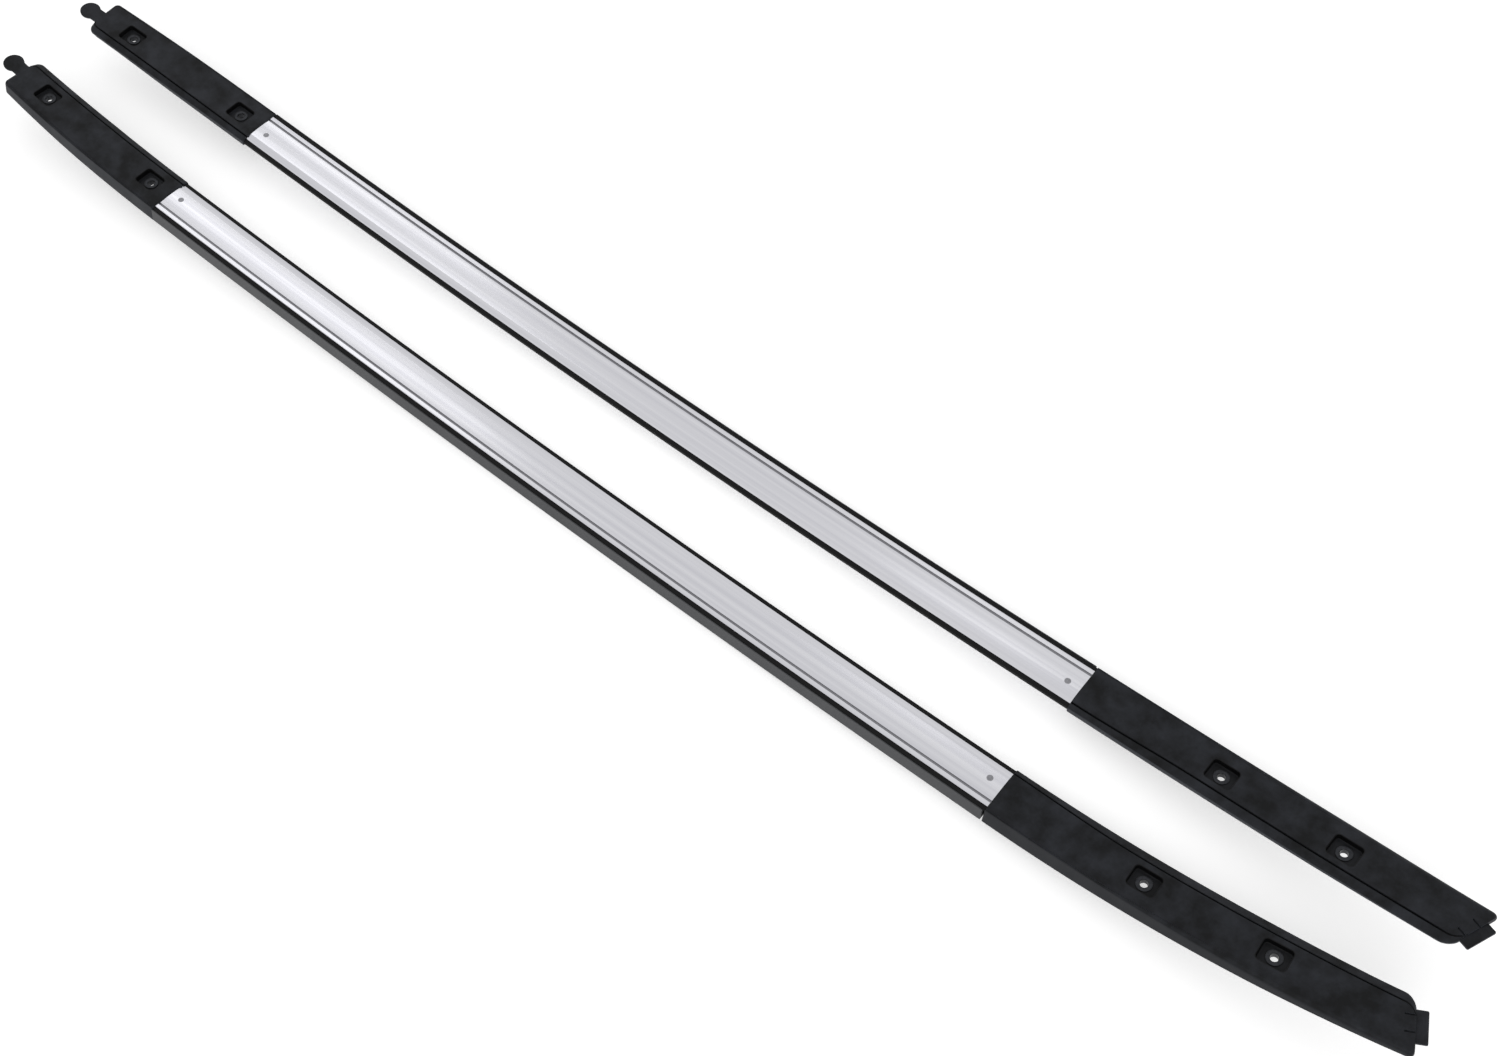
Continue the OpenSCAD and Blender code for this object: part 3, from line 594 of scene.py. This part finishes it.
def mouldingSection(size, arc, cornerCut=0.0, outerCut=0.0):
    # closed ring of (u, v): inner side, shoulder, line, top, outer line, rounded edge, flank, underside
    m = mouldingSizes
    length = size["length"]
    tip = max(0.0, (arc - (length - 150)) / 150)
    growth = easeIn(arc, 0, size["shoulderGrowth"])
    inner = -m["railHalf"] - m["innerStep"] + size["tipNarrowing"][0] * tip + cornerCut
    outer = m["flankTop"] - size["tipNarrowing"][1] * tip ** 1.5 - outerCut
    width = size["shoulderWidth"][0] + (size["shoulderWidth"][1] - size["shoulderWidth"][0]) * growth
    drop = size["shoulderDrop"][0] + (size["shoulderDrop"][1] - size["shoulderDrop"][0]) * growth
    drop = min(drop, -underFloor(size, inner, arc) - 1.6)
    top = m["proud"]
    innerLine = m["lineDepth"] * (1 - 0.7 * easeIn(arc, length - 25, length - 4))
    crease = inner + width
    foot = underFloor(size, inner, arc)
    ring = [(inner + 0.6, foot), (inner + 0.1, foot + 0.3), (inner, foot + 0.8)]
    ring += [(inner, -drop - 0.2), (inner + 0.25, -drop + 0.5), (inner + 0.7, -drop + 1.1)]
    slope = (drop - 0.6) / (width - 2.4)
    for share in (0.3, 0.6, 0.88, 1.0):
        u = inner + 0.7 + (width - 2.4 - 0.7) * share
        ring.append((u, -drop + 1.1 + (u - inner - 0.7) * slope))
    edgeV = ring[-1][1]
    lineFloor = min(edgeV, top) - innerLine
    ring += [(crease - 1.9, edgeV - 0.3), (crease - 1.7, lineFloor), (crease - 0.3, lineFloor)]
    ring += [(crease, top - 0.35), (crease + 0.3, top - 0.05), (crease + 0.8, top)]
    joint, far = size["edgeRadius"]
    radius = joint + (far - joint) * easeIn(arc, 60, 0.85 * length)
    radius = min(radius, (top - underFloor(size, outer, arc)) * 0.8)
    turnU = outer - 0.8128 * radius
    lineDepth = m["outerLineDepth"] * (1 - easeIn(arc, *size["outerLineFade"]))
    first, last = crease + 1.6, turnU - 2.2
    topStart = len(ring)
    count = m["topPoints"]
    topU = [first + (last - first) * k / (count - 1) for k in range(count)]
    ring += [(u, top) for u in topU]
    ring += [(turnU - 1.5, top - 0.1 * lineDepth), (turnU - 1.15, top - lineDepth),
             (turnU - 0.75, top - lineDepth), (turnU - 0.4, top - 0.1 * lineDepth)]
    startAngle, endAngle = math.radians(90), math.radians(11.8)
    for k in range(8):
        angle = startAngle + (endAngle - startAngle) * k / 7
        ring.append((turnU + radius * math.cos(angle), top - radius + radius * math.sin(angle)))
    lastV = ring[-1][1]
    footU = outer + m["flankLean"] * (top - underFloor(size, outer, arc))
    footV = underFloor(size, footU, arc)
    room = lastV - footV
    for share in (0.15, 0.5, 0.85):
        v = lastV - max(0.3, room - 1.0) * share
        ring.append((outer + m["flankLean"] * (top - v), v))
    ring += [(footU - 0.1, footV + 0.7), (footU - 0.5, footV + 0.15), (footU - 1.2, footV)]
    underStart = len(ring)
    ring += [(u, underFloor(size, u, arc)) for u in reversed(topU)]
    return ring, topStart, underStart


def insetRing(ring, distance):
    # moves each point of a closed ring inwards
    moved = []
    count = len(ring)
    for i, (u, v) in enumerate(ring):
        before, after = Vector(ring[i - 1]), Vector(ring[(i + 1) % count])
        along = after - before
        along = along.normalized() if along.length > 1e-6 else Vector((1, 0))
        moved.append((u + along.y * distance, v - along.x * distance))
    return moved


def pocketOutline(x, y, halfLength, halfWidth, corner):
    # x and y run from -1 to 1 round a square; gives the matching point of a rounded rectangle
    px, py = x * halfLength, y * halfWidth
    overX, overY = abs(px) - (halfLength - corner), abs(py) - (halfWidth - corner)
    if overX > 0 and overY > 0:
        away = Vector((overX, overY)).normalized() * corner
        px = math.copysign(halfLength - corner + away.x, px)
        py = math.copysign(halfWidth - corner + away.y, py)
    return px, py


def tabSolid(outline, top, thickness, chamfer):
    # flat tab with a small chamfer all round, from an outline that runs anticlockwise
    count = len(outline)
    inset = insetRing(outline, -chamfer)
    levels = [(inset, top - thickness), (outline, top - thickness + chamfer),
              (outline, top - chamfer), (inset, top)]
    points = [(x, u, v) for ring, v in levels for x, u in ring]
    faces = [tuple(reversed(range(count))), tuple(range(3 * count, 4 * count))]
    for level in range(3):
        for i in range(count):
            j = (i + 1) % count
            faces.append((level * count + i, level * count + j, (level + 1) * count + j, (level + 1) * count + i))
    return points, faces


def arcPoints(centre, radius, start, stop, pieces):
    angles = [math.radians(start + (stop - start) * k / pieces) for k in range(pieces + 1)]
    return [(centre[0] + radius * math.cos(angle), centre[1] + radius * math.sin(angle)) for angle in angles]


tabSizes = {"tongueWidth": 33.0, "tongueLength": 11.0, "tongueU": -1.5, "lugRadius": 13.0, "lugLength": 33.0,
            "lugU": -3.0, "top": -1.5, "thickness": 3.0, "root": 14.0, "chamfer": 0.5}


def tongueOutline(t):
    low, high = t["tongueU"] - t["tongueWidth"] / 2, t["tongueU"] + t["tongueWidth"] / 2
    return ([(-t["root"], low)] + arcPoints((t["tongueLength"] - 1.5, low + 1.5), 1.5, -90, 0, 4)
            + arcPoints((t["tongueLength"] - 1.5, high - 1.5), 1.5, 0, 90, 4) + [(-t["root"], high)])


def lugOutline(t):
    r, neck, fillet = t["lugRadius"], 0.75 * t["lugRadius"], 3.0
    centreX = t["lugLength"] - r
    filletX = centreX - math.sqrt((r + fillet) ** 2 - (neck + fillet) ** 2)
    touch = math.degrees(math.atan2(neck + fillet, filletX - centreX))
    lower = arcPoints((filletX, -neck - fillet), fillet, 90, 180 - touch, 4)
    lobe = arcPoints((centreX, 0), r, -touch, touch, 28)
    upper = arcPoints((filletX, neck + fillet), fillet, touch - 180, -90, 4)
    outline = [(-t["root"], -neck)] + lower + lobe[1:-1] + upper + [(-t["root"], neck)]
    return [(x, u + t["lugU"]) for x, u in outline]


def buildMoulding(end, side):
    size, m, k = endSizes[end], mouldingSizes, pocketSizes
    length = size["length"]
    radius = bendRadius(size, size["rise"])
    lean = math.atan2(size["inset"], size["rise"])
    place = endPlace(end)
    slant = math.tan(math.radians(size["slant"]))

    def toSpace(arc, u, v):
        shift = slant * u * easeIn(arc, length - 110, length)
        return place @ bend(arc + shift, radius, lean) @ Vector((0, u, v))

    points, faces, rows, paintedShadeAt = [], [], [], {}
    corner = size["cornerRadius"]
    arcs = [0.0, m["tipChamfer"]]
    while arcs[-1] + m["stationStep"] < length - corner:
        arcs.append(arcs[-1] + m["stationStep"])
    cornerAngles = (0, 12, 24, 36, 47, 57, 66, 74, 80)
    arcs += [length - corner + corner * math.sin(math.radians(angle)) for angle in cornerAngles]
    arcs += [length - m["tipChamfer"] * 0.3, length]
    for index, arc in enumerate(arcs):
        cuts = []
        for rounding in (corner, size["outerCorner"]):
            into = max(0.0, min(1.0, (arc - (length - rounding)) / rounding))
            cuts.append(min(rounding * (1 - math.sqrt(max(0.0, 1 - into * into))), rounding * 0.83))
        ring, topStart, underStart = mouldingSection(size, arc, *cuts)
        if index in (0, len(arcs) - 1):
            ring = insetRing(ring, m["tipChamfer"] * 0.6)
        rows.append(range(len(points), len(points) + len(ring)))
        points += [toSpace(arc, u, v) for u, v in ring]
    ringSize = len(rows[0])
    skip = set()
    for pocketArc in size["pockets"]:
        j0 = min(range(len(arcs)), key=lambda j: abs(arcs[j] - (pocketArc - k["reach"])))
        j1 = min(range(len(arcs)), key=lambda j: abs(arcs[j] - (pocketArc + k["reach"])))
        ring = mouldingSection(size, pocketArc)[0]
        count = m["topPoints"]
        k0 = min(range(count), key=lambda i: abs(ring[topStart + i][0] + k["side"]))
        k1 = min(range(count), key=lambda i: abs(ring[topStart + i][0] - k["side"]))
        loop = [(j, k0) for j in range(j0, j1)] + [(j1, i) for i in range(k0, k1)]
        loop += [(j, k1) for j in range(j1, j0, -1)] + [(j0, i) for i in range(k1, k0, -1)]
        frameHere = place @ bend(pocketArc, radius, lean)
        lowU, highU = ring[topStart + k0][0], ring[topStart + k1][0]
        unit = [(2 * (arcs[j] - arcs[j0]) / (arcs[j1] - arcs[j0]) - 1,
                 2 * (ring[topStart + i][0] - lowU) / (highU - lowU) - 1) for j, i in loop]
        topLoop = [rows[j][topStart + i] for j, i in loop]
        underLoop = [rows[j][underStart + count - 1 - i] for j, i in loop]
        for j in range(j0, j1):
            for i in range(k0, k1):
                skip.add((j, topStart + i))
                skip.add((j, underStart + count - 2 - i))
        top, floor = m["proud"], m["proud"] - k["depth"]
        halfL, halfW, c, hole = k["length"] / 2, k["width"] / 2, k["corner"], k["hole"]
        steps = [(halfL + 1.3, halfW + 1.3, c + 1.3, top), (halfL + 0.6, halfW + 0.6, c + 0.6, top - 0.04),
                 (halfL + 0.15, halfW + 0.15, c + 0.15, top - 0.3), (halfL, halfW, c, top - 0.8),
                 (halfL - 0.3, halfW - 0.3, c - 0.3, floor + 1.0), (halfL - 0.5, halfW - 0.5, c - 0.5, floor + 0.3),
                 (halfL - 1.1, halfW - 1.1, c - 1.0, floor), (halfL - 2.0, halfW - 2.0, c - 1.4, floor),
                 (hole + 0.4, hole + 0.4, hole + 0.4, floor), (hole, hole, hole, floor - 0.4)]
        current = topLoop
        # painted shade: the pocket walls are painted near black and the rings of the pocket floor partly darker
        wallEnd = len(points) + 6 * len(loop)
        paintedShadeAt.update({index: 1.0 for index in range(len(points) + len(loop), wallEnd)})
        paintedShadeAt.update({index: 0.4 for index in range(wallEnd, len(points) + len(steps) * len(loop))})
        bottomV = underFloor(size, 0, pocketArc)
        chain = steps + [(hole, hole, hole, bottomV + 0.5), None]
        for step in chain:
            if step is None:
                following = underLoop
            else:
                following = list(range(len(points), len(points) + len(loop)))
                for x, y in unit:
                    px, py = pocketOutline(x, y, *step[:3])
                    points.append(frameHere @ Vector((px, py, step[3])))
            for i in range(len(loop)):
                n = (i + 1) % len(loop)
                faces.append((current[i], current[n], following[n], following[i]))
            current = following
    for j in range(len(rows) - 1):
        for i in range(ringSize):
            if (j, i) not in skip:
                n = (i + 1) % ringSize
                faces.append((rows[j][i], rows[j][n], rows[j + 1][n], rows[j + 1][i]))
    faces += [tuple(rows[0]), tuple(reversed(rows[-1]))]

    t = tabSizes
    outline = tongueOutline(t) if end == "long" else lugOutline(t)
    tabPoints, tabFaces = tabSolid(outline, t["top"], t["thickness"], t["chamfer"])
    tabPlace = place @ bend(length, radius, lean) @ Matrix.Rotation(-math.radians(size["slant"]), 4, "Z")
    toSide = Matrix.Diagonal((1, sides[side], 1, 1))
    obj = meshObject(f"{side}{end.capitalize()}Moulding", [toSide @ p for p in points], faces, endPlastic)
    recess = obj.data.attributes.new("recess", "FLOAT", "POINT")
    for row in rows:
        # painted shade in the line along the shoulder crease
        paintedShadeAt.update({row[m["creasePoint"] + k]: shade for k, shade in enumerate(m["creaseShades"])})
        # painted shade on the outer flank, growing darker towards the underside
        flank = row[underStart - m["flankPoints"]:underStart]
        paintedShadeAt.update({index: size["flankShade"] * min(1.0, (k + 1) / 4) for k, index in enumerate(flank)})
    for index, shade in paintedShadeAt.items():
        recess.data[index].value = shade
    outwardNormals(obj)
    if end == "long":
        cutSlits(obj, toSide @ tabPlace)
    tab = meshObject("tab", [toSide @ tabPlace @ Vector(p) for p in tabPoints], tabFaces)
    joinInto(obj, tab)
    outwardNormals(obj)
    sharpenEdges(obj, 38)
    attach(obj, "root")
    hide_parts(f"{side}_{end}_end")
    return obj


slitSizes = {"length": 10.0, "width": 2.2, "places": (-10.0, 7.0)}


def joinInto(obj, part):
    # moves the part's mesh into the object
    work = bmesh.new()
    work.from_mesh(obj.data)
    work.from_mesh(part.data)
    work.to_mesh(obj.data)
    work.free()
    bpy.data.objects.remove(part)


def cutSlits(obj, tabPlace):
    # two slits in the top of the tip, above the tongue
    z, t = slitSizes, tabSizes
    box = ((0, 1, 3, 2), (4, 6, 7, 5), (0, 4, 5, 1), (2, 3, 7, 6), (0, 2, 6, 4), (1, 5, 7, 3))
    points, faces = [], []
    for place in z["places"]:
        base = len(points)
        u = t["tongueU"] + place
        for x in (-z["length"], 14.0):
            for v in (t["top"] + 0.05, 9.0):
                for w in (-z["width"] / 2, z["width"] / 2):
                    points.append(tabPlace @ Vector((x, u + w, v)))
        faces += [tuple(base + i for i in face) for face in box]
    cutter = meshObject(obj.name + "Cutter", points, faces, smooth=False)
    outwardNormals(cutter)
    modifier = obj.modifiers.new("slits", "BOOLEAN")
    modifier.operation = "DIFFERENCE"
    modifier.solver = "MANIFOLD"
    modifier.object = cutter
    bpy.context.view_layer.update()
    made = bpy.data.meshes.new_from_object(obj.evaluated_get(bpy.context.evaluated_depsgraph_get()))
    obj.modifiers.remove(modifier)
    obj.data = made
    bpy.data.objects.remove(cutter)


for side in sides:
    for end in endSizes:
        buildMoulding(end, side)
print("moulded ends made")


def latheSection(name, profile, pieces=40):
    # closed ring of (radius, height) turned about Z
    points, faces = [], []
    count = len(profile)
    for step in range(pieces):
        angle = 2 * math.pi * step / pieces
        points += [(r * math.cos(angle), r * math.sin(angle), z) for r, z in profile]
    for step in range(pieces):
        following = (step + 1) % pieces
        for i in range(count):
            j = (i + 1) % count
            faces.append((step * count + i, following * count + i, following * count + j, step * count + j))
    obj = meshObject(name, points, faces)
    outwardNormals(obj)
    sharpenEdges(obj, 35)
    return obj


def fastenerTree():
    # sets the given fastener on each point of the object's mesh, standing along its axis
    tree = bpy.data.node_groups.new("fastenersOnPoints", "GeometryNodeTree")
    face = tree.interface
    face.new_socket("Geometry", in_out="INPUT", socket_type="NodeSocketGeometry")
    face.new_socket("Fastener", in_out="INPUT", socket_type="NodeSocketObject")
    face.new_socket("Scale", in_out="INPUT", socket_type="NodeSocketFloat").default_value = 1.0
    face.new_socket("Material", in_out="INPUT", socket_type="NodeSocketMaterial")
    face.new_socket("Geometry", in_out="OUTPUT", socket_type="NodeSocketGeometry")
    given = addNode(tree, "NodeGroupInput")
    points = addNode(tree, "GeometryNodeMeshToPoints", inputs={"Mesh": given.outputs["Geometry"]})
    fastener = addNode(tree, "GeometryNodeObjectInfo", inputs={"Object": given.outputs["Fastener"]})
    axis = addNode(tree, "GeometryNodeInputNamedAttribute", {"data_type": "FLOAT_VECTOR"}, {"Name": "standing"})
    turn = addNode(tree, "FunctionNodeAlignRotationToVector", {"axis": "Z"}, {"Vector": axis.outputs[0]})
    placed = addNode(tree, "GeometryNodeInstanceOnPoints", inputs={
        "Points": points.outputs[0], "Instance": fastener.outputs["Geometry"],
        "Rotation": turn.outputs[0], "Scale": given.outputs["Scale"]})
    real = addNode(tree, "GeometryNodeRealizeInstances", inputs={0: placed.outputs[0]})
    painted = addNode(tree, "GeometryNodeSetMaterial", inputs={
        "Geometry": real.outputs[0], "Material": given.outputs["Material"]})
    addNode(tree, "NodeGroupOutput", inputs={"Geometry": painted.outputs[0]})
    return tree


fastenersOnPoints = fastenerTree()
fastenerSizes = {
    "bush": {"hole": 4.25, "wall": 1.75, "flange": 8.5, "flangeThickness": 1.2, "length": 7.0, "round": 0.35},
    "rivet": {"head": 3.6, "headThickness": 1.4, "stand": 0.3, "fromEnd": 16.0, "across": -4.0, "dimple": 0.8},
}


def bushProfile(b):
    hole, outer, flange, r = b["hole"], b["hole"] + b["wall"], b["flange"], b["round"]
    top, foot = b["flangeThickness"], -b["length"]
    return [(hole, foot + r), (hole + r, foot), (outer - r, foot), (outer, foot + r), (outer, 0),
            (flange - r, 0), (flange, r), (flange, top - r),
            (flange - 0.3 * r, top - 0.3 * r), (flange - r, top), (hole + 2 * r, top),
            (hole + r, top - 0.3 * r), (hole, top - 1.6 * r)]


def rivetProfile(v):
    head, top = v["head"], v["stand"]
    low = top - v["headThickness"]
    return [(0.001, low), (head, low), (head, top - 0.35), (head - 0.25, top - 0.12), (head - 0.6, top),
            (v["dimple"] + 0.6, top), (v["dimple"], top - 0.25), (0.001, top - 0.35)]


def placeFasteners(name, fastener, spots, material, nodes):
    mesh = bpy.data.meshes.new(name)
    mesh.from_pydata([tuple(place * mm) for place, axis in spots], [], [])
    standing = mesh.attributes.new("standing", "FLOAT_VECTOR", "POINT")
    standing.data.foreach_set("vector", [c for place, axis in spots for c in axis])
    obj = bpy.data.objects.new(name, mesh)
    bpy.context.scene.collection.objects.link(obj)
    applyTree(obj, fastenersOnPoints, {"Fastener": fastener, "Scale": 1.0, "Material": material})
    sharpenEdges(obj, 35)
    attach(obj, "root")
    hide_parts(*nodes)


def standingAt(here, offset):
    # a place in the frame and the way up there
    return here @ Vector(offset), (here.to_3x3() @ Vector((0, 0, 1))).normalized()


def endSpot(end, side, arc, height):
    size = endSizes[end]
    radius = bendRadius(size, size["rise"])
    lean = math.atan2(size["inset"], size["rise"])
    here = Matrix.Diagonal((1, sides[side], 1, 1)) @ endPlace(end) @ bend(arc, radius, lean)
    return standingAt(here, (0, 0, height))


def rivetSpot(end, side):
    p, arc = pairLayout, fastenerSizes["rivet"]["fromEnd"]
    toEnd = bend(p["barAhead"], p["bowRadius"]) if end == "long" else bend(-p["barBehind"], p["bowRadius"])
    shift = -arc if end == "long" else arc
    here = Matrix.Diagonal((1, sides[side], 1, 1)) @ railPlace() @ toEnd
    return standingAt(here, (shift, fastenerSizes["rivet"]["across"], 0))


bushShape = latheSection("bushShape", bushProfile(fastenerSizes["bush"]))
rivetShape = latheSection("rivetShape", rivetProfile(fastenerSizes["rivet"]))
pocketFloor = mouldingSizes["proud"] - pocketSizes["depth"]
for side in sides:
    bushes = [(end, k) for end in endSizes for k in (0, 1)]
    bushSpots = [endSpot(end, side, endSizes[end]["pockets"][k], pocketFloor) for end, k in bushes]
    bushNodes = [f"{side}_{end}_bush_{k + 1}" for end, k in bushes]
    placeFasteners(f"{side}Bushes", bushShape, bushSpots, plainSteel, bushNodes)
    rivetSpots = [rivetSpot(end, side) for end in endSizes]
    rivetNodes = [f"{side}_{end}_rivet" for end in endSizes]
    placeFasteners(f"{side}Rivets", rivetShape, rivetSpots, rivetSteel, rivetNodes)
for shape in (bushShape, rivetShape):
    bpy.data.objects.remove(shape)
print("bushes and rivets placed")

for node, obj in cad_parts.items():
    if node.endswith("_pad"):
        for slotItem in obj.material_slots:
            slotItem.material = padRubber


# floor and light; a lamp is its place, its aim, its size in metres and its power
studio = {
    "world": 0.72,
    "floor": "#f2f2f2",
    "floorHalf": 9000.0,
    "floorGlow": 0.4,
    "lamps": {
        "leftStreak": ((-1.59, 0.64, 1.79), (-0.48, 0.0, 0.0), (0.90, 0.20), 0.60),
        "leftEdgeStreak": ((-1.62, 1.05, 1.67), (-0.50, 0.07, 0.0), (0.60, 0.12), 0.28),
        "rightStreak": ((-0.17, 1.01, 1.93), (0.42, 0.07, 0.0), (0.35, 0.12), 0.11),
        "fillBox": ((1.2, -1.8, 2.2), (0.2, 0.0, 0.0), (1.6, 1.2), 16),
    },
}


def seenDirectly(tree):
    # 1 for the camera's own rays and for what metal and glass show
    path = addNode(tree, "ShaderNodeLightPath")
    either = addNode(tree, "ShaderNodeMath", {"operation": "MAXIMUM"}, {
        0: path.outputs["Is Camera Ray"], 1: path.outputs["Is Glossy Ray"]})
    return addNode(tree, "ShaderNodeMath", {"operation": "MAXIMUM"}, {
        0: either.outputs[0], 1: path.outputs["Is Transmission Ray"]})


def buildStudio(s):
    half = s["floorHalf"]
    corners = [(-half, -half, 0), (half, -half, 0), (half, half, 0), (-half, half, 0)]
    floor = meshObject("studioFloor", corners, [(0, 1, 2, 3)], smooth=False)
    material, tree = newMaterial("matteWhiteFloor")
    seen = seenDirectly(tree)
    base = addNode(tree, "ShaderNodeBsdfPrincipled", inputs={
        "Base Color": linearColour(s["floor"]), "Roughness": 0.9, "Specular IOR Level": 0.0})
    lift = addNode(tree, "ShaderNodeMath", {"operation": "MULTIPLY"}, {0: seen.outputs[0], 1: s["floorGlow"]})
    glow = addNode(tree, "ShaderNodeEmission", inputs={"Color": (1, 1, 1, 1), "Strength": lift.outputs[0]})
    both = addNode(tree, "ShaderNodeAddShader", inputs={0: base.outputs[0], 1: glow.outputs[0]})
    finishMaterial(tree, both)
    floor.data.materials.append(material)

    world = bpy.data.worlds.new("studioWorld")
    bpy.context.scene.world = world
    world.use_nodes = True
    tree = world.node_tree
    tree.nodes.clear()
    seen = seenDirectly(tree)
    soft = addNode(tree, "ShaderNodeBackground", inputs={"Color": (1, 1, 1, 1), "Strength": s["world"]})
    white = addNode(tree, "ShaderNodeBackground", inputs={"Color": (1, 1, 1, 1), "Strength": 1.0})
    pick = addNode(tree, "ShaderNodeMixShader", inputs={
        0: seen.outputs[0], 1: soft.outputs[0], 2: white.outputs[0]})
    addNode(tree, "ShaderNodeOutputWorld", inputs={"Surface": pick.outputs[0]})


def softBox(name, place, aim, size, power):
    # a lamp with its long side along the rails
    lamp = bpy.data.lights.new(name, "AREA")
    lamp.shape = "RECTANGLE"
    lamp.size, lamp.size_y = size
    lamp.energy = power
    obj = bpy.data.objects.new(name, lamp)
    back = (Vector(place) - Vector(aim)).normalized()
    along = (Vector((1, 0, 0)) - back * back.x).normalized()
    across = back.cross(along)
    turn = Matrix((along, across, back)).transposed().to_4x4()
    obj.matrix_world = Matrix.Translation(place) @ turn
    bpy.context.scene.collection.objects.link(obj)


buildStudio(studio)
for name, lamp in studio["lamps"].items():
    softBox(name, *lamp)
print("studio lit")

bpy.context.scene.view_settings.view_transform = "Standard"

bpy.context.view_layer.update()
